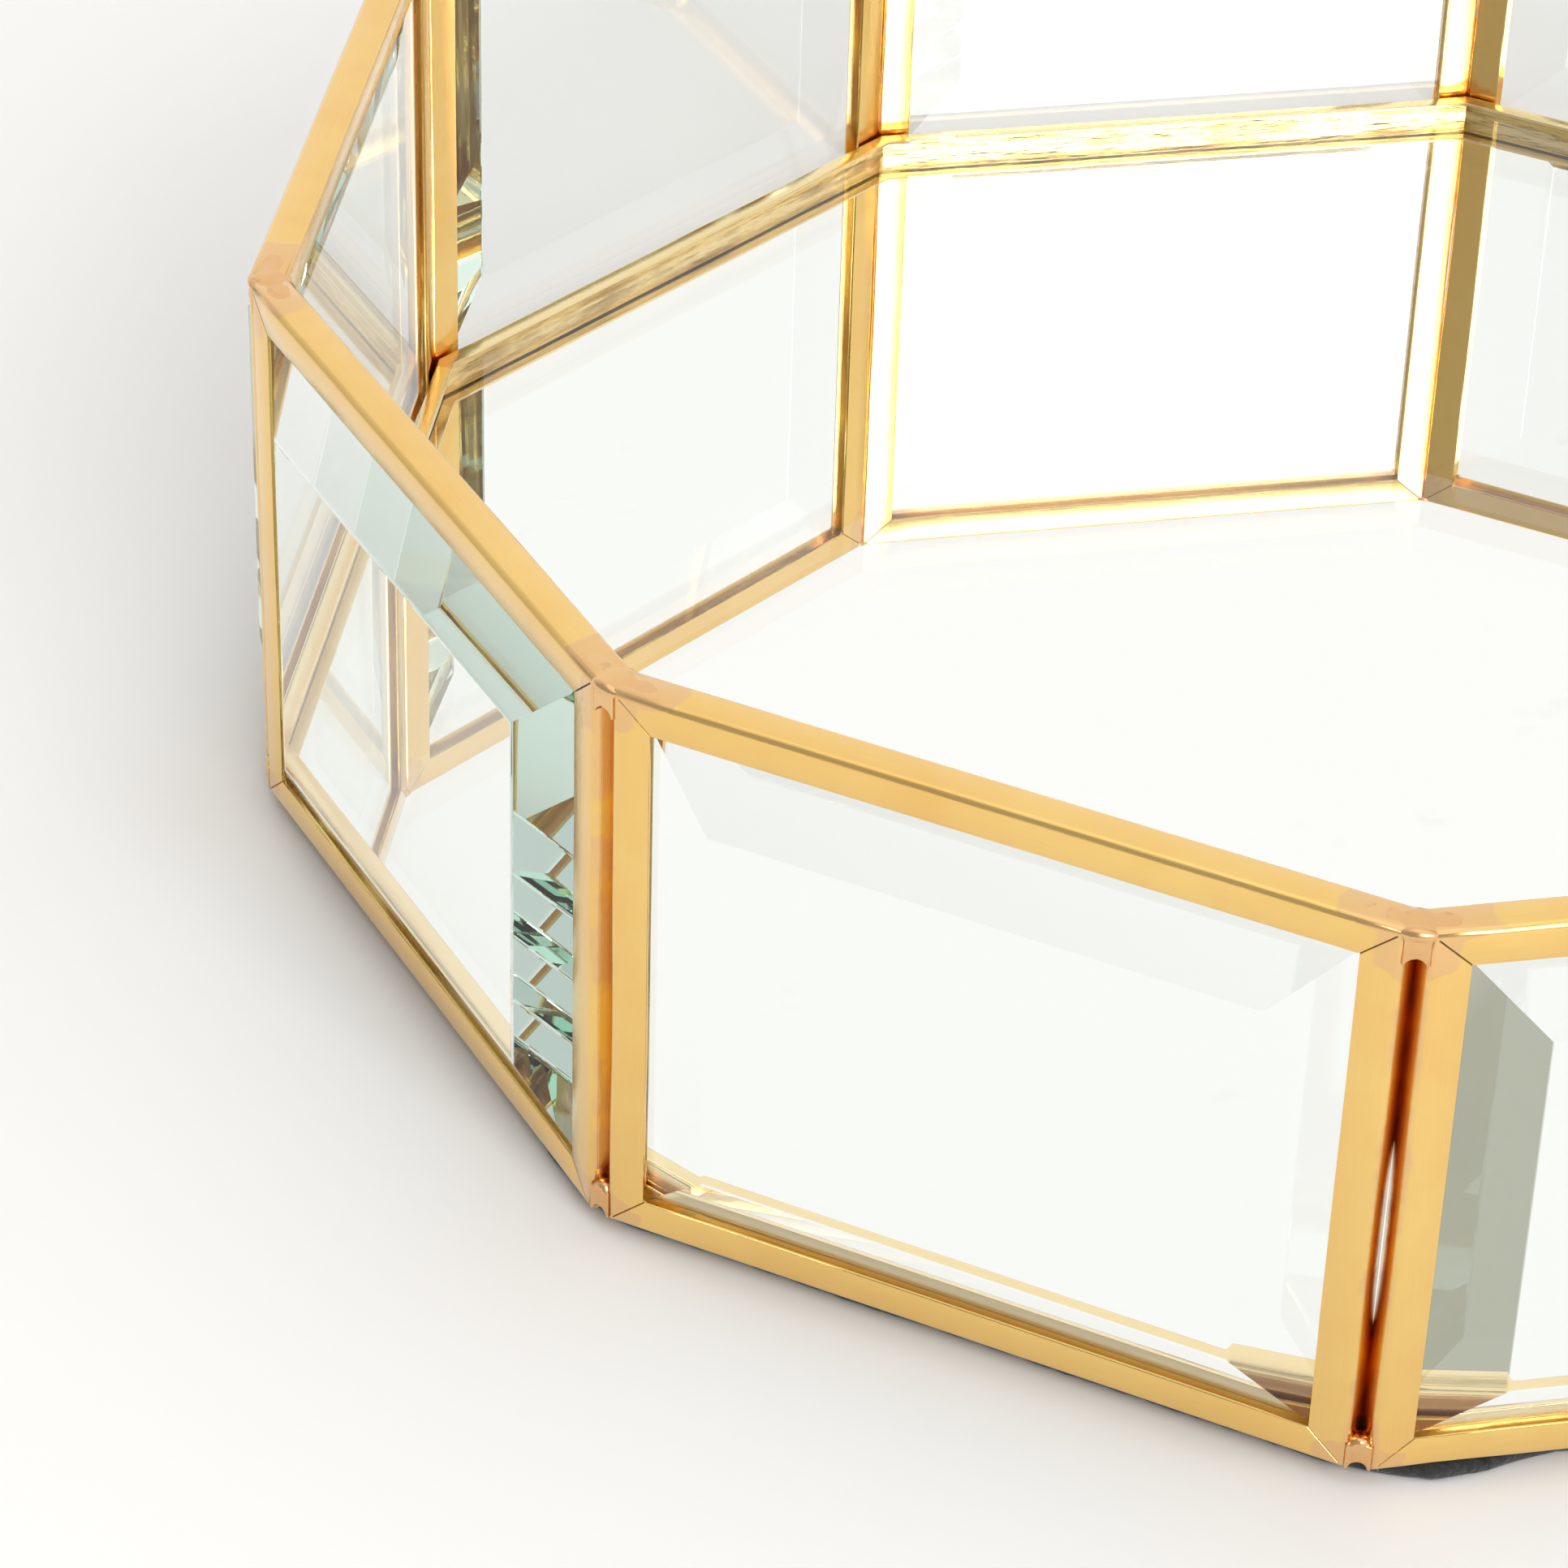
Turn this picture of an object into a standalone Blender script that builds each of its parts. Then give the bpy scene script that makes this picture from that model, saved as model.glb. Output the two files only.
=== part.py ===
"""Ten-sided vanity tray: bevelled glass panes in brass channel frames round a mirror floor, on felt."""

import math

import bmesh
import bpy
from mathutils import Matrix, Vector

# Driving dimensions, in metres
SIDE_COUNT = 10

PANEL_WIDTH = 0.0617
PANEL_HEIGHT = 0.051
PANEL_GAP = 0.0003

CHANNEL_WIDTH = 0.0033
FLANGE_HEIGHT = 0.003
BRASS_SHEET = 0.0003
FOLD_RADIUS = 0.0006
SEAM_GAP = 0.0003

GLASS_THICKNESS = 0.005
GLASS_EDGE = 0.001
GLASS_BEVEL_WIDTH = 0.0084
GLASS_CLEARANCE = 0.0003

MIRROR_THICKNESS = 0.004
MIRROR_ARRIS = 0.0003
MIRROR_CLEARANCE = 0.0003
RIM_CLEARANCE = 0.0003
RIM_FLANGE = 0.0017

FELT_THICKNESS = 0.0012
FELT_INSET = 0.0003
FELT_CORNER_RADIUS = 0.004

SOLDER_CLEARANCE = 0.0003
SOLDER_FILM = 0.0005
SOLDER_REACH = 0.007
SOLDER_EDGE_INSET = 0.0003
SOLDER_TIP_WIDTH = 0.0003
TOP_SOLDER_DEPTH = 0.003
BOTTOM_SOLDER_HEIGHT = 0.0033
NOTCH_HEIGHT = 0.0008
NOTCH_RADIUS = 0.0006

SEAT_GAP = 0.0003

# Counts of facets on rounded edges
FOLD_FACETS = 3
FELT_CORNER_FACETS = 4
SOLDER_END_FACETS = 3
NOTCH_FACETS = 16

# Values that follow from the driving dimensions
STEP_ANGLE = 2 * math.pi / SIDE_COUNT
HALF_STEP = STEP_ANGLE / 2
FRONT_ANGLE = -math.pi / 2
INNER_APOTHEM = (PANEL_WIDTH + PANEL_GAP) / 2 / math.tan(HALF_STEP)
PANEL_BASE_Z = FELT_THICKNESS + SEAT_GAP
GLASS_MARGIN = BRASS_SHEET + GLASS_CLEARANCE
MIRROR_MARGIN = BRASS_SHEET + MIRROR_CLEARANCE
RIM_APOTHEM = INNER_APOTHEM - RIM_CLEARANCE
RIM_HEIGHT = MIRROR_THICKNESS + 2 * MIRROR_MARGIN
GROOVE_INNER_RADIUS = INNER_APOTHEM * math.cos(HALF_STEP) + PANEL_WIDTH / 2 * math.sin(HALF_STEP)
GROOVE_INNER_HALF = PANEL_GAP / 2 * math.cos(HALF_STEP)


def clear_scene():
    for obj in list(bpy.data.objects):
        bpy.data.objects.remove(obj, do_unlink=True)


def make_material(name, colour, roughness, metallic=0.0, transmission=0.0):
    material = bpy.data.materials.new(name)
    material.use_nodes = True
    shader = material.node_tree.nodes["Principled BSDF"]
    shader.inputs["Base Color"].default_value = (*colour, 1.0)
    shader.inputs["Roughness"].default_value = roughness
    shader.inputs["Metallic"].default_value = metallic
    shader.inputs["Transmission Weight"].default_value = transmission
    material.diffuse_color = (*colour, 1.0)
    return material


def finish_mesh(name, bm):
    bmesh.ops.recalc_face_normals(bm, faces=bm.faces[:])
    mesh = bpy.data.meshes.new(name)
    bm.to_mesh(mesh)
    bm.free()
    return mesh


def place(name, mesh, material, parent, angle=0.0, height=0.0):
    """Adds a piece turned about the tray's axis, so that its +Y points outwards at the angle."""
    obj = bpy.data.objects.new(name, mesh)
    bpy.context.scene.collection.objects.link(obj)
    if not mesh.materials:
        mesh.materials.append(material)
    obj.parent = parent
    obj.location = (0.0, 0.0, height)
    obj.rotation_euler = (0.0, 0.0, angle - math.pi / 2)
    return obj


def panel_angle(index):
    return FRONT_ANGLE + index * STEP_ANGLE


def corner_angle(index):
    """The corner at the start of a panel, going round anticlockwise from above."""
    return panel_angle(index) - HALF_STEP


def extrude_outline(points, depth):
    """A closed prism on an outline of points, raised along Z by the depth."""
    bm = bmesh.new()
    face = bm.faces.new([bm.verts.new(point) for point in points])
    raised = bmesh.ops.extrude_face_region(bm, geom=[face])
    moved = [item for item in raised["geom"] if isinstance(item, bmesh.types.BMVert)]
    bmesh.ops.translate(bm, verts=moved, vec=(0.0, 0.0, depth))
    bmesh.ops.recalc_face_normals(bm, faces=bm.faces[:])
    return bm


def regular_outline(apothem):
    radius = apothem / math.cos(HALF_STEP)
    angles = [corner_angle(index) for index in range(SIDE_COUNT)]
    return [Vector((radius * math.cos(angle), radius * math.sin(angle), 0.0)) for angle in angles]


# Brass frames

def channel_section(width, flange):
    """A U channel as (across, up) points: across from one flange's outer face, up from the web's outer face."""
    points = [(0.0, flange)]
    for step in range(FOLD_FACETS + 1):
        turn = math.pi / 2 * step / FOLD_FACETS
        points.append((FOLD_RADIUS * (1 - math.cos(turn)), FOLD_RADIUS * (1 - math.sin(turn))))
    for step in range(FOLD_FACETS + 1):
        turn = math.pi / 2 * step / FOLD_FACETS
        across = width - FOLD_RADIUS * (1 - math.sin(turn))
        points.append((across, FOLD_RADIUS * (1 - math.cos(turn))))
    points.append((width, flange))
    points.append((width - BRASS_SHEET, flange))
    points.append((width - BRASS_SHEET, BRASS_SHEET))
    points.append((BRASS_SHEET, BRASS_SHEET))
    points.append((BRASS_SHEET, flange))
    return points


def frame_mesh():
    """One strip folded round its pane: its two ends meet, a seam apart, at one lower corner."""
    half = PANEL_WIDTH / 2
    seam_shift = SEAM_GAP / math.sqrt(2)
    # Each corner: side, height, which way the section rises, and its shift for the seam
    corners = [
        (-1, 0.0, 1, seam_shift, 0.0),
        (1, 0.0, 1, 0.0, 0.0),
        (1, PANEL_HEIGHT, -1, 0.0, 0.0),
        (-1, PANEL_HEIGHT, -1, 0.0, 0.0),
        (-1, 0.0, 1, 0.0, seam_shift),
    ]
    bm = bmesh.new()
    rings = []
    for side, base, rise, shift_x, shift_z in corners:
        ring = []
        for across, up in channel_section(CHANNEL_WIDTH, FLANGE_HEIGHT):
            x = side * (half - up) + shift_x
            ring.append(bm.verts.new((x, INNER_APOTHEM + across, base + rise * up + shift_z)))
        rings.append([bm.edges.new(pair) for pair in zip(ring, ring[1:] + ring[:1])])
    for first, second in zip(rings, rings[1:]):
        bmesh.ops.bridge_loops(bm, edges=first + second)
    for strip_end in (rings[0], rings[-1]):
        bmesh.ops.contextual_create(bm, geom=strip_end)
    return finish_mesh("pane_frame", bm)


# Glass panes

def pane_mesh():
    """A pane with a thin edge inside the channel and a bevel that rises to its full thickness outside."""
    size = Vector((PANEL_WIDTH - 2 * GLASS_MARGIN, GLASS_EDGE, PANEL_HEIGHT - 2 * GLASS_MARGIN))
    centre = Vector((0.0, INNER_APOTHEM + GLASS_MARGIN + GLASS_EDGE / 2, PANEL_HEIGHT / 2))
    bm = bmesh.new()
    bmesh.ops.create_cube(bm, size=1.0, matrix=Matrix.LocRotScale(centre, None, size))
    bmesh.ops.recalc_face_normals(bm, faces=bm.faces[:])
    outer = max(bm.faces, key=lambda face: face.calc_center_median().y)
    bmesh.ops.inset_region(
        bm,
        faces=[outer],
        thickness=GLASS_BEVEL_WIDTH,
        depth=GLASS_THICKNESS - GLASS_EDGE,
        use_even_offset=True,
    )
    return finish_mesh("glass_pane", bm)


# Solder joints

def groove_half_width(depth):
    """Half the width of solder in the groove between two frames, at a depth from their inner faces."""
    return GROOVE_INNER_HALF + depth * math.sin(HALF_STEP) - SOLDER_CLEARANCE / math.cos(HALF_STEP)


def groove_outline(z):
    tip_half = SOLDER_TIP_WIDTH / 2
    tip_depth = (tip_half - groove_half_width(0.0)) / math.sin(HALF_STEP)
    tip_y = GROOVE_INNER_RADIUS + tip_depth * math.cos(HALF_STEP)
    mouth_half = groove_half_width(CHANNEL_WIDTH)
    mouth_y = GROOVE_INNER_RADIUS + CHANNEL_WIDTH * math.cos(HALF_STEP)
    return [
        Vector((-tip_half, tip_y, z)),
        Vector((-mouth_half, mouth_y, z)),
        Vector((mouth_half, mouth_y, z)),
        Vector((tip_half, tip_y, z)),
    ]


def film_outline(z):
    """The film on the two rail ends: it follows both rails from the corner, with rounded far ends."""
    along = Vector((math.cos(HALF_STEP), -math.sin(HALF_STEP), 0.0))
    outward = Vector((math.sin(HALF_STEP), math.cos(HALF_STEP), 0.0))
    half_band = CHANNEL_WIDTH / 2 - SOLDER_EDGE_INSET
    start = Vector((GROOVE_INNER_HALF, GROOVE_INNER_RADIUS, z)) + outward * CHANNEL_WIDTH / 2
    far = start + along * (SOLDER_REACH - half_band)
    right = [start - outward * half_band]
    for step in range(2 * SOLDER_END_FACETS + 1):
        turn = math.pi * step / (2 * SOLDER_END_FACETS) - math.pi / 2
        right.append(far + outward * half_band * math.sin(turn) + along * half_band * math.cos(turn))
    right.append(start + outward * half_band)
    left = [Vector((-point.x, point.y, point.z)) for point in reversed(right)]
    return right + left


def joined_mesh(name, body_bm, other_bm, operation):
    """One closed mesh made from two by a Boolean."""
    body = bpy.data.objects.new(name, finish_mesh(name, body_bm))
    other = bpy.data.objects.new(name + "_tool", finish_mesh(name + "_tool", other_bm))
    for obj in (body, other):
        bpy.context.scene.collection.objects.link(obj)
    modifier = body.modifiers.new("join", "BOOLEAN")
    modifier.operation = operation
    modifier.solver = "EXACT"
    modifier.object = other
    graph = bpy.context.evaluated_depsgraph_get()
    mesh = bpy.data.meshes.new_from_object(body.evaluated_get(graph))
    mesh.name = name
    for obj in (body, other):
        bpy.data.objects.remove(obj, do_unlink=True)
    return mesh


def top_solder_mesh():
    """Solder in the top of a groove, spread as a film over the ends of both rails."""
    film_base = PANEL_HEIGHT + SOLDER_CLEARANCE
    film = extrude_outline(film_outline(film_base), SOLDER_FILM)
    plug_base = PANEL_HEIGHT - TOP_SOLDER_DEPTH
    plug = extrude_outline(groove_outline(plug_base), film_base + SOLDER_FILM / 2 - plug_base)
    return joined_mesh("top_solder_joint", film, plug, "UNION")


def bottom_solder_mesh():
    """Solder in the foot of a groove, arched over a half-round notch."""
    plug = extrude_outline(groove_outline(0.0), BOTTOM_SOLDER_HEIGHT)
    centre = Vector((0.0, GROOVE_INNER_RADIUS + CHANNEL_WIDTH / 2, NOTCH_HEIGHT - NOTCH_RADIUS))
    tool = bmesh.new()
    bmesh.ops.create_cone(
        tool,
        cap_ends=True,
        segments=NOTCH_FACETS,
        radius1=NOTCH_RADIUS,
        radius2=NOTCH_RADIUS,
        depth=2 * CHANNEL_WIDTH,
        matrix=Matrix.Translation(centre) @ Matrix.Rotation(math.pi / 2, 4, "X"),
    )
    return joined_mesh("bottom_solder_joint", plug, tool, "DIFFERENCE")


# Floor and felt

def rim_mesh():
    """The channel folded round the mirror, web outwards, and closed into a ring."""
    bm = bmesh.new()
    rings = []
    for index in range(SIDE_COUNT):
        turn = Matrix.Rotation(corner_angle(index), 3, "Z")
        ring = []
        for across, up in channel_section(RIM_HEIGHT, RIM_FLANGE):
            reach = (RIM_APOTHEM - up) / math.cos(HALF_STEP)
            ring.append(bm.verts.new(turn @ Vector((reach, 0.0, across))))
        rings.append([bm.edges.new(pair) for pair in zip(ring, ring[1:] + ring[:1])])
    for first, second in zip(rings, rings[1:] + rings[:1]):
        bmesh.ops.bridge_loops(bm, edges=first + second)
    return finish_mesh("base_rim", bm)


def mirror_mesh():
    bm = extrude_outline(regular_outline(RIM_APOTHEM - MIRROR_MARGIN), MIRROR_THICKNESS)
    rim = [edge for edge in bm.edges if all(vert.co.z > MIRROR_THICKNESS / 2 for vert in edge.verts)]
    bmesh.ops.bevel(
        bm,
        geom=rim,
        offset=MIRROR_ARRIS,
        offset_type="WIDTH",
        segments=1,
        profile=0.5,
        affect="EDGES",
        material=-1,
    )
    return finish_mesh("base_mirror", bm)


def felt_mesh():
    bm = extrude_outline(regular_outline(INNER_APOTHEM + CHANNEL_WIDTH - FELT_INSET), FELT_THICKNESS)
    upright = [edge for edge in bm.edges if abs(edge.verts[0].co.z - edge.verts[1].co.z) > FELT_THICKNESS / 2]
    bmesh.ops.bevel(
        bm,
        geom=upright,
        offset=FELT_CORNER_RADIUS,
        offset_type="OFFSET",
        segments=FELT_CORNER_FACETS,
        profile=0.5,
        affect="EDGES",
        material=-1,
    )
    return finish_mesh("base_felt", bm)


def shade_rounded(mesh):
    mesh.shade_smooth()
    mesh.set_sharp_from_angle(angle=math.radians(35))


def build_tray():
    clear_scene()
    brass = make_material("brass", (0.80, 0.58, 0.26), 0.22, metallic=1.0)
    solder = make_material("gilded_solder", (0.76, 0.50, 0.28), 0.35, metallic=1.0)
    glass = make_material("clear_glass", (0.97, 1.0, 0.98), 0.02, transmission=1.0)
    mirror = make_material("mirror_glass", (0.92, 0.94, 0.93), 0.02, metallic=1.0)
    felt = make_material("black_felt", (0.020, 0.020, 0.023), 0.95)

    tray = bpy.data.objects.new("tray", None)
    bpy.context.scene.collection.objects.link(tray)

    frame = frame_mesh()
    pane = pane_mesh()
    top_solder = top_solder_mesh()
    bottom_solder = bottom_solder_mesh()
    rim = rim_mesh()
    felt_sheet = felt_mesh()
    for mesh in (frame, top_solder, bottom_solder, rim, felt_sheet):
        shade_rounded(mesh)

    for index in range(SIDE_COUNT):
        number = f"{index + 1:02d}"
        facing = panel_angle(index)
        corner = corner_angle(index)
        place("pane_frame_" + number, frame, brass, tray, facing, PANEL_BASE_Z)
        place("glass_pane_" + number, pane, glass, tray, facing, PANEL_BASE_Z)
        place("top_solder_joint_" + number, top_solder, solder, tray, corner, PANEL_BASE_Z)
        place("bottom_solder_joint_" + number, bottom_solder, solder, tray, corner, PANEL_BASE_Z)
    place("base_rim", rim, brass, tray, math.pi / 2, PANEL_BASE_Z)
    place("base_mirror", mirror_mesh(), mirror, tray, math.pi / 2, PANEL_BASE_Z + MIRROR_MARGIN)
    place("base_felt", felt_sheet, felt, tray, math.pi / 2, 0.0)


build_tray()
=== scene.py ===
import math
import random
import bmesh
import bpy
from mathutils import Matrix, Vector, noise


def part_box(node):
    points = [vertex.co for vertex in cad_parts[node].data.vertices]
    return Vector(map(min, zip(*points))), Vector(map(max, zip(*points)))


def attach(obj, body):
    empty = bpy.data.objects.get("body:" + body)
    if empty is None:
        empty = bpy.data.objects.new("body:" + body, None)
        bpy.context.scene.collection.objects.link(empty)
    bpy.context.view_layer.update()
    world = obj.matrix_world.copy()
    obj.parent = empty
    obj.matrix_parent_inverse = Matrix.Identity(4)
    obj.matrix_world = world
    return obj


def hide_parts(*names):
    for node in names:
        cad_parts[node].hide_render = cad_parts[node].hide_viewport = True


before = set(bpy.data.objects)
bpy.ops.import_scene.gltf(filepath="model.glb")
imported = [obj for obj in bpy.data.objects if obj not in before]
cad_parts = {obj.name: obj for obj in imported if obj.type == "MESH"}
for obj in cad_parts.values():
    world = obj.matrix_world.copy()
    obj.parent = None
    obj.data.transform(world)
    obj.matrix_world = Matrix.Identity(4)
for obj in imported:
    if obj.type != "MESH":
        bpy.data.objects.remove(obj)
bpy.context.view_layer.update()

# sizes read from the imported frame; the first panel faces -Y
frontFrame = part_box("pane_frame_01")
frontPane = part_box("glass_pane_01")
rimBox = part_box("base_rim")
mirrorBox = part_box("base_mirror")
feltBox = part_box("base_felt")
sideCount = sum(1 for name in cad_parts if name.startswith("glass_pane_"))
halfStep = math.pi / sideCount
tray = {
    "innerFace": -frontFrame[1].y,
    "channel": frontFrame[1].y - frontFrame[0].y,
    "halfWidth": (frontFrame[1].x - frontFrame[0].x) / 2,
    "foot": frontFrame[0].z,
    "rim": frontFrame[1].z,
}
print("tray:", sideCount, "sides,", round(2000 * tray["halfWidth"], 1), "mm wide panels")


class Val:
    # one socket of a material; sums on it add Math nodes
    def __init__(self, tree, socket):
        self.tree = tree
        self.socket = socket

    def node(self, kind, settings=None, sockets=None, out=0):
        made = self.tree.nodes.new(kind)
        for key, value in (settings or {}).items():
            setattr(made, key, value)
        for key, value in (sockets or {}).items():
            if isinstance(value, Val):
                self.tree.links.new(value.socket, made.inputs[key])
            else:
                made.inputs[key].default_value = value
        return Val(self.tree, made.outputs[out])

    def maths(self, operation, first, second):
        return self.node("ShaderNodeMath", {"operation": operation}, {0: first, 1: second})

    def __add__(self, other):
        return self.maths("ADD", self, other)

    def __sub__(self, other):
        return self.maths("SUBTRACT", self, other)

    def __rsub__(self, other):
        return self.maths("SUBTRACT", other, self)

    def __mul__(self, other):
        return self.maths("MULTIPLY", self, other)

    __radd__ = __add__
    __rmul__ = __mul__

    def clamp(self, low, high):
        # 0 up to low, 1 from high, straight between them
        return self.node("ShaderNodeMapRange", {"clamp": True},
                         {"Value": self, "From Min": low, "From Max": high})


def newFinish(name, shaderValues):
    # a material with one Principled shader; returns it with a Val to build on
    finish = bpy.data.materials.new(name)
    finish.use_nodes = True
    tree = finish.node_tree
    shader = tree.nodes["Principled BSDF"]
    for key, value in shaderValues.items():
        shader.inputs[key].default_value = value
    coords = tree.nodes.new("ShaderNodeTexCoord")
    return finish, shader, Val(tree, coords.outputs["Object"])


def feed(shader, key, value):
    value.tree.links.new(value.socket, shader.inputs[key])


def mixColour(val, first, second):
    return val.node("ShaderNodeMix", {"data_type": "RGBA"}, {0: val, 6: first, 7: second}, out=2)


def stretch(val, scale, turn=(0.0, 0.0, 0.0)):
    return val.node("ShaderNodeMapping", None, {"Vector": val, "Scale": scale, "Rotation": turn})


def grain(val, scale, detail=2.0, rough=0.5):
    return val.node("ShaderNodeTexNoise", None,
                    {"Vector": val, "Scale": scale, "Detail": detail, "Roughness": rough})


def relief(val, strength, distance):
    return val.node("ShaderNodeBump", None, {"Height": val, "Strength": strength, "Distance": distance})


# finishes

rolledBrass = {
    "bright": (0.89, 0.60, 0.19, 1.0),
    "deep": (0.85, 0.52, 0.145, 1.0),
    "tinned": (0.80, 0.49, 0.21, 1.0),
    "tarnish": (0.22, 0.12, 0.04, 1.0),
    "gloss": 0.10,
}
paleBrass = dict(rolledBrass, bright=(0.93, 0.76, 0.42, 1.0), deep=(0.90, 0.69, 0.33, 1.0))
# reach of the solder film from a panel's end, and the heights where each reach starts, in millimetres
solderFilm = {
    "ragScale": 230.0,
    "rag": 5.0,
    "rimReach": 2.1,
    "rimStart": (46.4, 47.6),
    "topReach": 3.1,
    "topStart": (50.3, 50.7),
    "footReach": 2.6,
    "footEnd": (2.0, 3.2),
    "edge": 0.35,
}


def brassFinish(name, metalSet):
    finish, shader, place = newFinish(name, {"Metallic": 1.0, "Coat Weight": 0.8, "Coat Roughness": 0.12})
    strip = place.node("ShaderNodeUVMap", {"uv_map": "strip"})
    grime = place.node("ShaderNodeAttribute", {"attribute_name": "grime"}, out=2)
    draw = grain(stretch(strip, (0.35, 26.0, 1.0)), 4.0, 3.0)
    cloud = grain(place, 85.0, 3.0, 0.6)
    patch = (cloud * 0.7 + draw * 0.3).clamp(0.35, 0.68)
    metal = mixColour(patch, metalSet["bright"], metalSet["deep"])
    # a film of solder near the joints: distance from the panel's end and height, in millimetres
    joint = place.node("ShaderNodeUVMap", {"uv_map": "joint"})
    away = place.node("ShaderNodeSeparateXYZ", None, {0: joint}, out=0)
    height = place.node("ShaderNodeSeparateXYZ", None, {0: joint}, out=1)
    ragged = (grain(place, solderFilm["ragScale"], 3.0, 0.6) - 0.5) * solderFilm["rag"]
    atRim = solderFilm["rimReach"] * (height + ragged * 1.3).clamp(*solderFilm["rimStart"])
    onTop = solderFilm["topReach"] * (height + ragged * 0.2).clamp(*solderFilm["topStart"])
    atFoot = solderFilm["footReach"] * (1 - (height + ragged).clamp(*solderFilm["footEnd"]))
    film = (atRim + onTop + atFoot + ragged * 0.5 - away).clamp(0.0, solderFilm["edge"])
    metal = mixColour(film * 0.85, metal, metalSet["tinned"])
    feed(shader, "Base Color", mixColour(grime, metal, metalSet["tarnish"]))
    feed(shader, "Roughness", metalSet["gloss"] + draw * 0.08 + patch * 0.06 + film * 0.05)
    feed(shader, "Normal", relief(draw * 0.5 + cloud * 0.5 + film * 0.6, 0.10, 0.0004))
    return finish


gildedSolder = {
    "pale": (0.83, 0.53, 0.25, 1.0),
    "rosy": (0.76, 0.44, 0.20, 1.0),
    "pit": (0.34, 0.17, 0.06, 1.0),
}


def solderFinish():
    finish, shader, place = newFinish("gilded solder", {"Metallic": 1.0})
    lumps = grain(place, 420.0, 3.0, 0.55)
    cloud = grain(place, 150.0, 2.0)
    pits = (1 - grain(place, 900.0, 2.0)).clamp(0.62, 0.74)
    metal = mixColour(cloud.clamp(0.35, 0.65), gildedSolder["pale"], gildedSolder["rosy"])
    feed(shader, "Base Color", mixColour(pits * 0.25, metal, gildedSolder["pit"]))
    feed(shader, "Roughness", 0.15 + lumps * 0.18)
    feed(shader, "Normal", relief(lumps * 0.8 - pits * 0.2, 0.16, 0.0004))
    return finish


clearGlass = {
    "ior": 1.52,
    "soak": (0.16, 0.66, 0.44, 1.0),
    "paneSoak": 6.0,
    "mirrorSoak": 1.5,
}


def glassFinish(name, density):
    finish, shader, place = newFinish(name, {"Transmission Weight": 1.0, "IOR": clearGlass["ior"]})
    shader.inputs["Base Color"].default_value = (1.0, 1.0, 1.0, 1.0)
    smear = grain(stretch(place, (60.0, 60.0, 22.0)), 1.6, 4.0, 0.6).clamp(0.62, 0.80)
    feed(shader, "Roughness", smear * 0.02)
    soak = finish.node_tree.nodes.new("ShaderNodeVolumeAbsorption")
    soak.inputs["Color"].default_value = clearGlass["soak"]
    soak.inputs["Density"].default_value = density
    finish.node_tree.links.new(soak.outputs[0], finish.node_tree.nodes["Material Output"].inputs["Volume"])
    return finish


def silverFinish():
    finish, shader, place = newFinish("mirror silvering", {"Metallic": 1.0})
    blotch = grain(place, 120.0, 4.0, 0.6).clamp(0.66, 0.80)
    feed(shader, "Base Color", mixColour(blotch * 0.3, (0.95, 0.96, 0.95, 1.0), (0.80, 0.80, 0.77, 1.0)))
    feed(shader, "Roughness", blotch * 0.02)
    return finish


gluedEdge = {
    "gold": (0.90, 0.66, 0.27, 1.0),
    "brown": (0.50, 0.31, 0.09, 1.0),
}


def edgeFinish():
    finish, shader, place = newFinish("glued edge", {"Metallic": 1.0})
    mottle = grain(stretch(place, (1.0, 1.0, 2.5)), 110.0, 4.0, 0.6)
    feed(shader, "Base Color", mixColour(mottle.clamp(0.45, 0.62), gluedEdge["gold"], gluedEdge["brown"]))
    feed(shader, "Roughness", 0.10 + mottle * 0.12)
    feed(shader, "Normal", relief(mottle, 0.25, 0.001))
    return finish


blackFelt = {
    "ink": (0.012, 0.012, 0.014, 1.0),
    "worn": (0.040, 0.040, 0.044, 1.0),
    "lint": (0.42, 0.42, 0.42, 1.0),
}


def feltFinish():
    finish, shader, place = newFinish("black felt", {"Sheen Weight": 0.25, "Sheen Roughness": 0.5})
    wool = grain(place, 1900.0, 4.0, 0.7)
    matted = grain(stretch(place, (700.0, 2200.0, 900.0), (0.3, 0.2, 0.7)), 1.0, 3.0)
    lint = grain(stretch(place, (420.0, 1500.0, 800.0), (0.2, 0.5, 1.1)), 1.0, 1.0).clamp(0.745, 0.765)
    cloth = mixColour((wool * 0.5 + matted * 0.5).clamp(0.35, 0.65), blackFelt["ink"], blackFelt["worn"])
    feed(shader, "Base Color", mixColour(lint, cloth, blackFelt["lint"]))
    feed(shader, "Roughness", 0.86 + wool * 0.12)
    feed(shader, "Normal", relief(wool * 0.6 + matted * 0.6, 0.9, 0.0005))
    return finish


brass = brassFinish("rolled brass", rolledBrass)
rimBrass = brassFinish("rim brass", paleBrass)
solder = solderFinish()
paneGlass = glassFinish("pane glass", clearGlass["paneSoak"])
mirrorGlass = glassFinish("mirror glass", clearGlass["mirrorSoak"])
silver = silverFinish()
edgeGold = edgeFinish()
felt = feltFinish()
print("finishes: brass, solder, glass, silvering, felt")


# helpers for the pieces

tiny = 1e-6  # metres, for telling places apart
longRun = 0.02  # edges longer than this are cut up
noise.seed_set(7)  # else the dents of the strip change from run to run


def panelTurn(index):
    return Matrix.Rotation(2 * halfStep * index - math.pi, 4, "Z")


def cornerTurn(index):
    return Matrix.Rotation(2 * halfStep * index - math.pi - halfStep, 4, "Z")


def newVerts(result):
    return [item for item in result["geom"] if isinstance(item, bmesh.types.BMVert)]


def edgesAmong(bm, verts):
    # in the order of the mesh
    chosen = set(verts)
    return [edge for edge in bm.edges if edge.verts[0] in chosen and edge.verts[1] in chosen]


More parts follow.
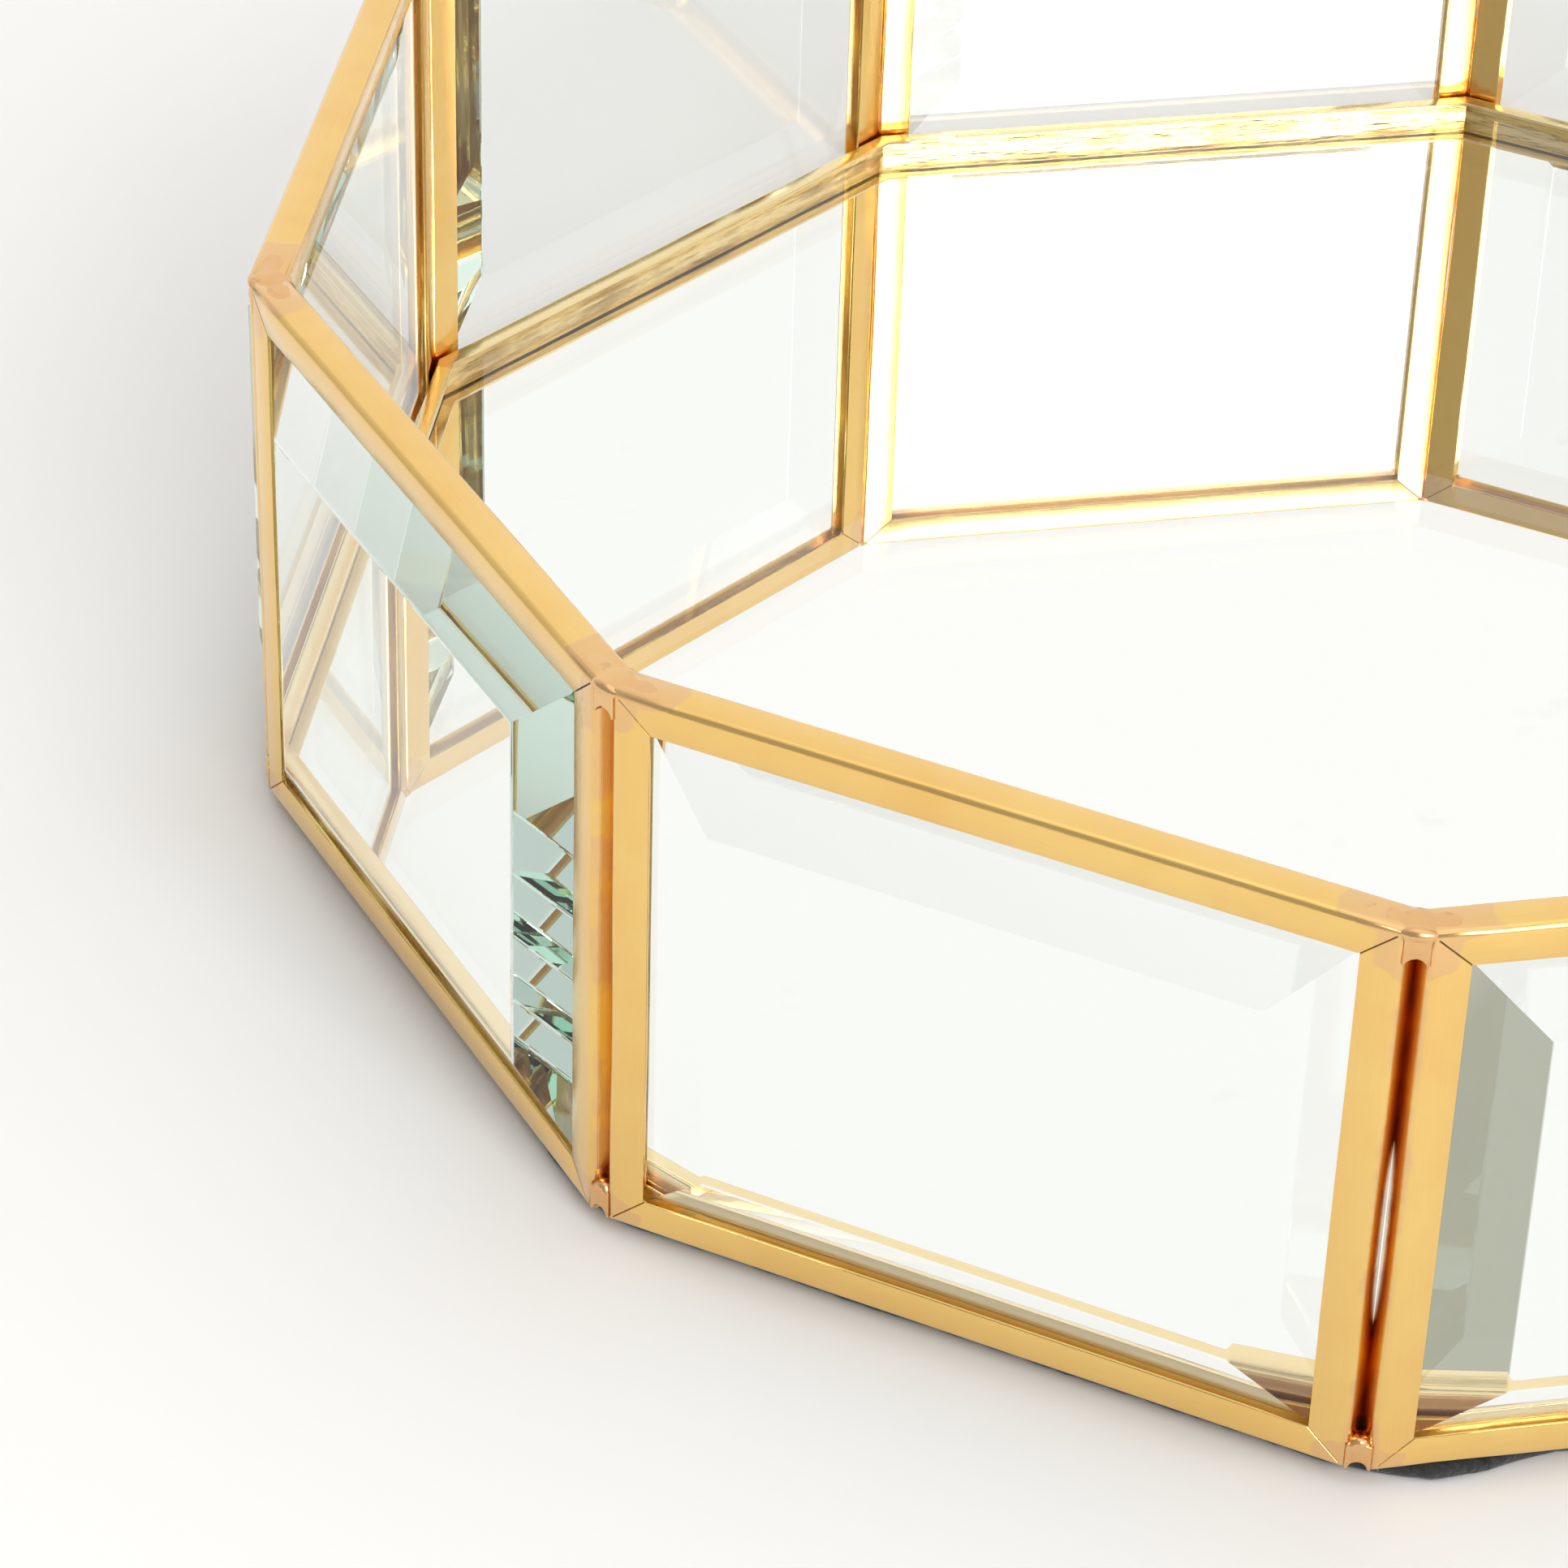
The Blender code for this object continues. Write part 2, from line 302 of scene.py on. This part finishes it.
def cutRuns(bm, cuts, gridFill):
    longEdges = [edge for edge in bm.edges if edge.calc_length() > longRun]
    bmesh.ops.subdivide_edges(bm, edges=longEdges, cuts=cuts, use_grid_fill=gridFill)


def turnOut(bm, outside):
    # normals point out, judged by one face that looks along +Y
    bmesh.ops.recalc_face_normals(bm, faces=bm.faces[:])
    if outside.normal.y < 0:
        bmesh.ops.reverse_faces(bm, faces=bm.faces[:])


def keepPiece(bm, name, finishes, replaced, smooth=True):
    mesh = bpy.data.meshes.new(name)
    bm.to_mesh(mesh)
    bm.free()
    for finish in finishes:
        mesh.materials.append(finish)
    if smooth:
        mesh.shade_smooth()
    piece = bpy.data.objects.new(name, mesh)
    bpy.context.scene.collection.objects.link(piece)
    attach(piece, "root")
    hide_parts(*replaced)
    return piece


# brass frames: a strip folded into a channel, mitred at the corners

channelStrip = {
    "flange": 0.003,
    "sheet": 0.0003,
    "outerFold": 0.00055,
    "innerFold": 0.00035,
    "foldSteps": 5,
    "mitreWidth": 0.00014,
    "mitreDepth": 0.00014,
    "runCuts": 15,
    "dent": 0.00003,
    "lipRound": 0.00007,
    "sideBand": 0.004,
    "spread": 0.00029,
    "bow": 0.00009,
    "bowMiddle": 0.0205,
    "bowHalf": 0.0095,
}


def thicken(piece):
    # thickness of the sheet, and softened cut edges
    wall = piece.modifiers.new("sheet", "SOLIDIFY")
    wall.thickness = channelStrip["sheet"]
    wall.offset = -1.0
    lips = piece.modifiers.new("lips", "BEVEL")
    lips.width = channelStrip["lipRound"]
    lips.segments = 2
    lips.limit_method = "ANGLE"
    lips.angle_limit = math.radians(60)


def foldFrame(index):
    strip = channelStrip
    half, foot, rim = tray["halfWidth"], tray["foot"], tray["rim"]
    inner, outer = tray["innerFace"], tray["innerFace"] + tray["channel"]
    middle = (foot + rim) / 2

    def onOutline(vert):
        return half - abs(vert.co.x) < tiny or middle - foot - abs(vert.co.z - middle) < tiny

    def isOuterFold(edge):
        return all(onOutline(vert) and abs(vert.co.y - outer) < tiny for vert in edge.verts)

    def onFlange(vert):
        return min(abs(vert.co.y - inner), abs(vert.co.y - outer)) < tiny

    def outwardness(face):
        centre = face.calc_center_median()
        return centre.y - 0.1 * abs(centre.x)

    bm = bmesh.new()
    start = [bm.verts.new((x, inner, z)) for x, z in ((-half, foot), (half, foot), (half, rim), (-half, rim))]
    innerFold = [bm.edges.new((start[i], start[i - 1])) for i in range(4)]
    web = bmesh.ops.extrude_edge_only(bm, edges=innerFold)
    bmesh.ops.translate(bm, verts=newVerts(web), vec=(0.0, tray["channel"], 0.0))
    outerFold = edgesAmong(bm, newVerts(web))
    for fold in (innerFold, outerFold):
        lip = newVerts(bmesh.ops.extrude_edge_only(bm, edges=fold))
        for vert in lip:
            vert.co.x -= math.copysign(strip["flange"], vert.co.x)
            vert.co.z -= math.copysign(strip["flange"], vert.co.z - middle)
    bmesh.ops.bevel(bm, geom=innerFold, offset=strip["innerFold"], segments=strip["foldSteps"], profile=0.5,
                    affect="EDGES", material=-1)
    outerFold = [edge for edge in bm.edges if isOuterFold(edge)]
    bmesh.ops.bevel(bm, geom=outerFold, offset=strip["outerFold"], segments=strip["foldSteps"], profile=0.5,
                    affect="EDGES", material=-1)

    # the mitre of each flange is a narrow groove
    mitres = []
    for edge in bm.edges:
        run = edge.verts[1].co - edge.verts[0].co
        flat = abs(run.y) < tiny and all(onFlange(vert) for vert in edge.verts)
        slanted = abs(abs(run.x) - abs(run.z)) < 10 * tiny and abs(run.x) > strip["flange"] / 3
        if flat and slanted:
            mitres.append(edge)
    grime = bm.verts.layers.float.new("grime")
    bmesh.ops.bevel(bm, geom=mitres, offset=strip["mitreWidth"] / 2, segments=2, profile=0.5,
                    affect="EDGES", material=-1)
    for vert in bm.verts:
        across = (half - abs(vert.co.x)) - (middle - foot - abs(vert.co.z - middle))
        if abs(across) < strip["mitreWidth"] / 6 and onFlange(vert):
            vert.co.y += strip["mitreDepth"] if abs(vert.co.y - inner) < tiny else -strip["mitreDepth"]
            vert[grime] = 1.0

    cutRuns(bm, strip["runCuts"], True)
    # the long sides nearly touch the next frame, and bow a little away from it
    for vert in bm.verts:
        shake = noise.noise_vector(Vector((vert.co.x * 90, vert.co.z * 90, index * 5.3)))
        toSide = half - abs(vert.co.x)
        if toSide < strip["sideBand"]:
            bowed = max(0.0, 1 - ((vert.co.z - foot - strip["bowMiddle"]) / strip["bowHalf"]) ** 2)
            push = strip["spread"] - strip["bow"] * bowed
            vert.co.x += math.copysign(push, vert.co.x) * (1 - toSide / strip["sideBand"])
        vert.co += shake * strip["dent"]

    # strip map: along the run and across it, in centimetres
    # joint map: from the panel's end and from the foot, in millimetres
    layer = bm.loops.layers.uv.new("strip")
    joint = bm.loops.layers.uv.new("joint")
    for face in bm.faces:
        centre = face.calc_center_median()
        toEnd = middle - foot - abs(centre.z - middle)
        toSide = half - abs(centre.x)
        for loop in face.loops:
            co = loop.vert.co
            if toEnd < toSide:
                along, across = co.x, co.y + (middle - foot - abs(co.z - middle))
            else:
                along, across = co.z + 0.3, co.y + (half - abs(co.x))
            loop[layer].uv = (100 * along + 17.0 * index, 100 * across)
            loop[joint].uv = (1000 * (half - abs(co.x)), 1000 * (co.z - foot))

    turnOut(bm, max(bm.faces, key=outwardness))
    bmesh.ops.transform(bm, matrix=panelTurn(index), verts=bm.verts[:])
    number = f"{index + 1:02d}"
    thicken(keepPiece(bm, "brass_frame_" + number, [brass], ["pane_frame_" + number]))


for index in range(sideCount):
    foldFrame(index)
print("frames folded")


# glass panes: ground and polished bevels on the outer face

groundPane = {
    "edge": 0.001,
    "bevel": 0.0084,
    "ridge": 0.00022,
}


def grindPane(index):
    low, high = frontPane
    size = Vector((high.x - low.x, groundPane["edge"], high.z - low.z))
    centre = Vector((0.0, -high.y + groundPane["edge"] / 2, (high.z + low.z) / 2))
    bm = bmesh.new()
    bmesh.ops.create_cube(bm, size=1.0, matrix=Matrix.LocRotScale(centre, None, size))
    bmesh.ops.recalc_face_normals(bm, faces=bm.faces[:])
    front = max(bm.faces, key=lambda face: face.calc_center_median().y)
    bmesh.ops.inset_region(bm, faces=[front], thickness=groundPane["bevel"],
                           depth=high.y - low.y - groundPane["edge"], use_even_offset=True)
    shoulder = centre.y + groundPane["edge"]
    ridges = [edge for edge in bm.edges if all(vert.co.y > shoulder for vert in edge.verts)]
    bmesh.ops.bevel(bm, geom=ridges, offset=groundPane["ridge"], segments=4, profile=0.5,
                    affect="EDGES", material=-1)
    bmesh.ops.recalc_face_normals(bm, faces=bm.faces[:])
    bmesh.ops.transform(bm, matrix=panelTurn(index), verts=bm.verts[:])
    number = f"{index + 1:02d}"
    keepPiece(bm, "bevelled_pane_" + number, [paneGlass], ["glass_pane_" + number], smooth=False)


for index in range(sideCount):
    grindPane(index)
print("panes ground")


# solder: a plug in each end of a groove, slightly proud of the brass

plugFit = {
    "overlap": 0.00002,
    "proud": 0.00004,
}


def grooveMiddle(depth):
    # point on a groove's middle line, at a depth from the inner faces
    reach = tray["innerFace"] * math.cos(halfStep) + tray["halfWidth"] * math.sin(halfStep)
    return Vector((0.0, reach + depth * math.cos(halfStep), 0.0))


def railPoint(side, depth):
    # corner of the rail to one side of a groove
    out = Vector((side * math.sin(halfStep), math.cos(halfStep), 0.0))
    return grooveMiddle(0.0) + out * depth


def axesAt(origin, first, second):
    # matrix with its own X, Y and Z axes at a point
    third = first.cross(second)
    turn = Matrix((first, second, third)).transposed().to_4x4()
    return Matrix.Translation(origin) @ turn


def addSlab(bm, outline, low, high, place):
    under = [bm.verts.new((a, b, low)) for a, b in outline]
    sole = bm.faces.new(under)
    raised = newVerts(bmesh.ops.extrude_face_region(bm, geom=[sole]))
    bmesh.ops.translate(bm, verts=raised, vec=(0.0, 0.0, high - low))
    bmesh.ops.transform(bm, matrix=place, verts=under + raised)
    return under


def addBlob(bm, centre, radii, turn):
    shape = Matrix.LocRotScale(centre, Matrix.Rotation(turn, 3, "Z"), radii)
    bmesh.ops.create_uvsphere(bm, u_segments=20, v_segments=12, radius=1.0, matrix=shape)


def archOutline(half, low, high, radius, centre):
    # front of a plug with a round bite out of its lower edge
    points = [(half, low), (half, high), (-half, high), (-half, low)]
    for step in range(13):
        angle = math.pi - math.pi * step / 12
        points.append((radius * math.cos(angle), centre + radius * math.sin(angle)))
    return points


def meltTogether(bm, seed, voxel, ease, lump):
    bmesh.ops.recalc_face_normals(bm, faces=bm.faces[:])
    mesh = bpy.data.meshes.new("melt")
    bm.to_mesh(mesh)
    bm.free()
    melt = bpy.data.objects.new("melt", mesh)
    bpy.context.scene.collection.objects.link(melt)
    flow = melt.modifiers.new("flow", "REMESH")
    flow.mode = "VOXEL"
    flow.voxel_size = voxel
    soften = melt.modifiers.new("soften", "SMOOTH")
    soften.factor = 0.5
    soften.iterations = ease
    graph = bpy.context.evaluated_depsgraph_get()
    flowed = bpy.data.meshes.new_from_object(melt.evaluated_get(graph))
    bpy.data.objects.remove(melt, do_unlink=True)
    made = bmesh.new()
    made.from_mesh(flowed)
    bpy.data.meshes.remove(flowed)
    for vert in made.verts:
        swell = noise.noise(vert.co * 650 + Vector((seed * 3.7, 0.0, 0.0)))
        swell += 0.5 * noise.noise(vert.co * 1600 + Vector((0.0, seed * 2.1, 0.0)))
        vert.co += vert.normal * lump * swell
    return made


upward = Vector((0.0, 0.0, 1.0))
rimSolder = {
    "voxel": 0.00012,
    "ease": 5,
    "drop": 0.0029,
    "lump": 0.000025,
    "seed": 100,
    "saddleHalf": 0.0022,
    "saddleHeight": 0.00046,
    "saddleSink": 0.00034,
    "lensReach": (0.0018, 0.0030),
    "lensHeight": 0.00036,
    "lensSink": 0.00030,
    "bead": (0.00135, 0.00066, 0.00050),
    "beadShift": 0.0004,
    "beadSink": 0.00038,
    "drip": (0.0006, 0.00024, 0.0007),
    "dripSink": 0.0014,
}


def flowRimSolder(index):
    make = rimSolder
    dice = random.Random(make["seed"] + index)
    channel, rim = tray["channel"], tray["rim"]
    bm = bmesh.new()
    half = channel * math.sin(halfStep) + plugFit["overlap"]
    drop = make["drop"] * dice.uniform(0.85, 1.15)
    plug = archOutline(half, -drop, -0.0003, half * 0.8, -drop - 0.0002)
    place = axesAt(grooveMiddle(0.0) + upward * rim, Vector((-1.0, 0.0, 0.0)), upward)
    back = addSlab(bm, plug, channel * 0.25, channel * math.cos(halfStep) + plugFit["proud"], place)
    for vert in back:
        vert.co.x *= 0.3
    # a saddle across the rails, a lens on each, a bead on the ridge and a drip below it
    saddle = Vector((make["saddleHalf"], channel * 0.56, make["saddleHeight"]))
    addBlob(bm, grooveMiddle(channel * 0.50) + upward * (rim - make["saddleSink"]), saddle, 0.0)
    for side in (-1, 1):
        reach = dice.uniform(*make["lensReach"])
        along = Vector((side * math.cos(halfStep), -math.sin(halfStep), 0.0)) * reach * 0.7
        lens = railPoint(side, channel * 0.52) + along + upward * (rim - make["lensSink"])
        addBlob(bm, lens, Vector((reach, channel * 0.46, make["lensHeight"])), -side * halfStep)
    bead = dice.uniform(0.85, 1.15)
    shift = dice.uniform(-make["beadShift"], make["beadShift"])
    wide, deep, tall = make["bead"]
    addBlob(bm, grooveMiddle(channel * 0.86) + Vector((shift, 0.0, rim - make["beadSink"])),
            Vector((wide * bead, deep, tall * bead)), 0.0)
    addBlob(bm, grooveMiddle(channel * 0.98) + Vector((-shift, 0.0, rim - make["dripSink"])),
            Vector(make["drip"]), 0.0)
    bm = meltTogether(bm, index, make["voxel"], make["ease"], make["lump"])
    bmesh.ops.transform(bm, matrix=cornerTurn(index), verts=bm.verts[:])
    number = f"{index + 1:02d}"
    keepPiece(bm, "rim_solder_" + number, [solder], ["top_solder_joint_" + number])


footSolder = {
    "voxel": 0.00011,
    "ease": 5,
    "height": 0.0026,
    "notch": 0.00078,
    "seat": 0.0001,
    "lump": 0.000025,
    "seed": 300,
    "lumpSeed": 40,
    "knob": (0.0008, 0.0007, 0.00055),
    "drip": (0.0010, 0.00026, 0.0007),
}


def flowFootSolder(index):
    make = footSolder
    dice = random.Random(make["seed"] + index)
    channel, foot = tray["channel"], tray["foot"]
    tall = make["height"] * dice.uniform(0.9, 1.1)
    bm = bmesh.new()
    half = channel * math.sin(halfStep) + plugFit["overlap"]
    plug = archOutline(half, make["seat"], tall, make["notch"], make["seat"])
    place = axesAt(grooveMiddle(0.0) + upward * foot, Vector((-1.0, 0.0, 0.0)), upward)
    back = addSlab(bm, plug, channel * 0.35, channel * math.cos(halfStep) + plugFit["proud"], place)
    for vert in back:
        vert.co.x *= 0.4
    addBlob(bm, grooveMiddle(channel * 0.80) + upward * (foot + tall), Vector(make["knob"]), 0.0)
    addBlob(bm, grooveMiddle(channel * 0.96) + upward * (foot + tall * 0.72), Vector(make["drip"]), 0.0)
    bm = meltTogether(bm, make["lumpSeed"] + index, make["voxel"], make["ease"], make["lump"])
    bmesh.ops.transform(bm, matrix=cornerTurn(index), verts=bm.verts[:])
    number = f"{index + 1:02d}"
    keepPiece(bm, "foot_solder_" + number, [solder], ["bottom_solder_joint_" + number])


for index in range(sideCount):
    flowRimSolder(index)
    flowFootSolder(index)
print("solder flowed")


# mirror floor: a glass slab, silvered underneath, with gold glue round its edge

def regularSlab(bm, flats, low, high):
    # a closed slab with as many sides as the tray
    angle = -math.pi / 2 - halfStep
    corners = []
    for _ in range(sideCount):
        reach = flats / math.cos(halfStep)
        corners.append(bm.verts.new((reach * math.cos(angle), reach * math.sin(angle), low)))
        angle += 2 * halfStep
    floorFace = bm.faces.new(corners)
    raised = bmesh.ops.extrude_face_region(bm, geom=[floorFace])
    bmesh.ops.translate(bm, verts=newVerts(raised), vec=(0.0, 0.0, high - low))
    bmesh.ops.recalc_face_normals(bm, faces=bm.faces[:])


def cutMirror():
    bm = bmesh.new()
    regularSlab(bm, mirrorBox[1].y, mirrorBox[0].z, mirrorBox[1].z)
    for face in bm.faces:
        if face.normal.z < 0.9:
            face.material_index = 1 if face.normal.z < -0.9 else 2
    finishes = [mirrorGlass, silver, edgeGold]
    keepPiece(bm, "mirror_floor", finishes, ["base_mirror"], smooth=False)


cutMirror()
print("mirror cut")


# rim of the mirror: a paler strip, folded round its edge

rimStrip = {
    "flange": 0.0017,
    "fold": 0.00035,
    "foldSteps": 4,
    "runCuts": 15,
    "dent": 0.00004,
    "filmHeight": 48.0,
}


def foldRim():
    reach, flange = rimBox[1].y, rimStrip["flange"]
    low, high = rimBox[0].z, rimBox[1].z
    corner = reach / math.cos(halfStep)
    lip = (reach - flange) / math.cos(halfStep)
    # the section stands over a corner and is swept round
    turn = Matrix.Rotation(-math.pi / 2 - halfStep, 3, "Z")
    bm = bmesh.new()
    section = ((lip, 0, low), (corner, 0, low), (corner, 0, high), (lip, 0, high))
    chain = [bm.verts.new(turn @ Vector(co)) for co in section]
    runs = [bm.edges.new((chain[i], chain[i + 1])) for i in range(3)]
    bmesh.ops.spin(bm, geom=chain + runs, cent=(0, 0, 0), axis=(0, 0, 1), dvec=(0, 0, 0), angle=2 * math.pi,
                   steps=sideCount, use_merge=True)
    folds = []
    for edge in bm.edges:
        outlying = all(vert.co.xy.length > (corner + lip) / 2 for vert in edge.verts)
        if outlying and abs(edge.verts[0].co.z - edge.verts[1].co.z) < tiny:
            folds.append(edge)
    bmesh.ops.bevel(bm, geom=folds, offset=rimStrip["fold"], segments=rimStrip["foldSteps"], profile=0.5,
                    affect="EDGES", material=-1)
    cutRuns(bm, rimStrip["runCuts"], True)
    for vert in bm.verts:
        vert.co += noise.noise_vector(vert.co * 90) * rimStrip["dent"]
    bm.verts.layers.float.new("grime")
    layer = bm.loops.layers.uv.new("strip")
    joint = bm.loops.layers.uv.new("joint")
    for face in bm.faces:
        centre = face.calc_center_median()
        side = round((math.atan2(centre.y, centre.x) + math.pi / 2) / (2 * halfStep))
        for loop in face.loops:
            co = Matrix.Rotation(-2 * halfStep * side, 3, "Z") @ loop.vert.co
            loop[layer].uv = (100 * co.x + 23.0 * side, 100 * (co.z - co.y))
            loop[joint].uv = (1000 * (-co.y * math.tan(halfStep) - abs(co.x)), rimStrip["filmHeight"])
    turnOut(bm, max(bm.faces, key=lambda face: face.calc_center_median().y))
    thicken(keepPiece(bm, "mirror_rim", [rimBrass], ["base_rim"]))


foldRim()
print("rim folded")


# felt: hand-cut sheet under the base, with a frayed edge

feltSheet = {
    "cornerRound": 0.004,
    "recess": 0.0013,
    "rag": 0.00035,
    "edgeCuts": 60,
    "rounding": 0.0004,
    "slips": [(-68.0, 3.0, 0.0016), (-112.0, 5.0, 0.0010)],
}


def cutFelt():
    bm = bmesh.new()
    low, high = feltBox[0].z, feltBox[1].z
    regularSlab(bm, feltBox[1].y - feltSheet["recess"], low, high)
    upright = [edge for edge in bm.edges if abs(edge.verts[0].co.z - edge.verts[1].co.z) > (high - low) / 2]
    bmesh.ops.bevel(bm, geom=upright, offset=feltSheet["cornerRound"], segments=5, profile=0.5,
                    affect="EDGES", material=-1)
    cutRuns(bm, feltSheet["edgeCuts"], False)
    rims = [edge for edge in bm.edges if abs(edge.verts[0].co.z - edge.verts[1].co.z) < tiny]
    bmesh.ops.bevel(bm, geom=rims, offset=feltSheet["rounding"], segments=2, profile=0.5,
                    affect="EDGES", material=-1)
    for vert in bm.verts:
        flat = Vector((vert.co.x, vert.co.y, 0.0))
        wander = 0.7 * noise.noise(flat * 60) + 0.5 * noise.noise(flat * 400 + Vector((0, 0, 9)))
        fray = 0.35 * noise.noise(Vector(vert.co) * 2600)
        push = feltSheet["rag"] * (wander + fray)
        bearing = math.degrees(math.atan2(flat.y, flat.x))
        for middle, spread, far in feltSheet["slips"]:
            push += far * math.exp(-((bearing - middle) / spread) ** 2)
        vert.co += flat.normalized() * push
    area = sum(face.calc_area() for face in bm.faces if face.normal.z > 0.9)
    piece = keepPiece(bm, "felt_sheet", [felt], ["base_felt"])


cutFelt()
print("felt cut")


# stage, lights and camera

stageSet = {
    "floorHalf": 3.0,
    "floorColour": (0.92, 0.918, 0.905, 1.0),
    "floorDim": 0.985,
    "floorDrop": 0.0002,
    "skyBack": (1.0, 0.985, 0.962, 1.0),
    "skyFront": (0.46, 0.46, 0.465, 1.0),
    "skyTop": (1.30, 1.285, 1.265, 1.0),
    "topEdge": (0.86, 0.96),
    "frontBearing": -112.0,
    "frontFlat": 0.97,
    "frontRise": 0.24,
    "frontEdge": (-0.15, 0.75),
    "skyStrength": 1.04,
    "flag": (0.43, 0.43, 0.34, 1.0),
    "flagBearing": 75.5,
    "flagHeight": 40.0,
    "flagEdge": (0.9865, 0.9935),
}
keySoftbox = {
    "azimuth": -43.0,
    "height": 37.0,
    "away": 1.6,
    "size": (0.8, 0.7),
    "power": 11.0,
}


def layFloor():
    bm = bmesh.new()
    bmesh.ops.create_grid(bm, x_segments=1, y_segments=1, size=stageSet["floorHalf"])
    mesh = bpy.data.meshes.new("floor")
    bm.to_mesh(mesh)
    bm.free()
    finish, shader, place = newFinish("pale floor", {"Roughness": 0.6, "Specular IOR Level": 0.2})
    cloud = grain(place, 3.0, 2.0)
    dim = tuple(stageSet["floorDim"] * part for part in stageSet["floorColour"][:3]) + (1.0,)
    feed(shader, "Base Color", mixColour(cloud, stageSet["floorColour"], dim))
    mesh.materials.append(finish)
    floor = bpy.data.objects.new("floor", mesh)
    floor.location.z = feltBox[0].z - stageSet["floorDrop"]
    bpy.context.scene.collection.objects.link(floor)


def skyward(azimuth, height):
    # unit vector to a place in the sky, given in degrees
    around, up = math.radians(azimuth), math.radians(height)
    return Vector((math.cos(up) * math.cos(around), math.cos(up) * math.sin(around), math.sin(up)))


def hangLight(name, make):
    lamp = bpy.data.lights.new(name, "AREA")
    lamp.shape = "RECTANGLE"
    lamp.size, lamp.size_y = make["size"]
    lamp.energy = make["power"]
    holder = bpy.data.objects.new(name, lamp)
    towards = skyward(make["azimuth"], make["height"])
    holder.location = towards * make["away"]
    holder.rotation_euler = towards.to_track_quat("Z", "Y").to_euler()
    bpy.context.scene.collection.objects.link(holder)


def paintSky():
    world = bpy.data.worlds.new("studio")
    bpy.context.scene.world = world
    world.use_nodes = True
    tree = world.node_tree
    back = tree.nodes["Background"]
    coords = tree.nodes.new("ShaderNodeTexCoord")
    place = Val(tree, coords.outputs["Generated"])
    bearing = math.radians(stageSet["frontBearing"])
    flat = stageSet["frontFlat"]
    front = (flat * math.cos(bearing), flat * math.sin(bearing), stageSet["frontRise"])
    facing = place.node("ShaderNodeVectorMath", {"operation": "DOT_PRODUCT"}, {0: place, 1: front}, out=1)
    sky = mixColour(facing.clamp(*stageSet["frontEdge"]), stageSet["skyBack"], stageSet["skyFront"])
    height = place.node("ShaderNodeSeparateXYZ", None, {0: place}, out=2)
    sky = mixColour(height.clamp(*stageSet["topEdge"]), sky, stageSet["skyTop"])
    # a dark flag behind the tray, seen in the side bevel of the second pane
    flag = tuple(skyward(stageSet["flagBearing"], stageSet["flagHeight"]))
    near = place.node("ShaderNodeVectorMath", {"operation": "DOT_PRODUCT"}, {0: place, 1: flag}, out=1)
    sky = mixColour(near.clamp(*stageSet["flagEdge"]), sky, stageSet["flag"])
    tree.links.new(sky.socket, back.inputs["Color"])
    back.inputs["Strength"].default_value = stageSet["skyStrength"]


camera = {
    "lens": 129.57,
    "sensor": 36.0,
    "place": (0.12177, -0.40027, 0.29194),
    "pitch": 36.21,
    "yaw": -24.70,
    "roll": 1.84,
}


def setCamera():
    eye = bpy.data.cameras.new("camera")
    eye.lens = camera["lens"]
    eye.sensor_width = camera["sensor"]
    eye.clip_start = 0.01
    holder = bpy.data.objects.new("camera", eye)
    aim = (Matrix.Rotation(math.radians(-camera["yaw"]), 4, "Z")
           @ Matrix.Rotation(math.radians(90 - camera["pitch"]), 4, "X")
           @ Matrix.Rotation(math.radians(camera["roll"]), 4, "Z"))
    holder.matrix_world = Matrix.Translation(camera["place"]) @ aim
    bpy.context.scene.collection.objects.link(holder)
    bpy.context.scene.camera = holder


layFloor()
paintSky()
hangLight("key softbox", keySoftbox)
setCamera()
bpy.context.scene.view_settings.view_transform = "Standard"
bounces = 40  # light is turned round many times inside the bevels
bpy.context.scene.cycles.max_bounces = bounces
bpy.context.scene.cycles.glossy_bounces = bounces
bpy.context.scene.cycles.transmission_bounces = bounces
print("stage lit")
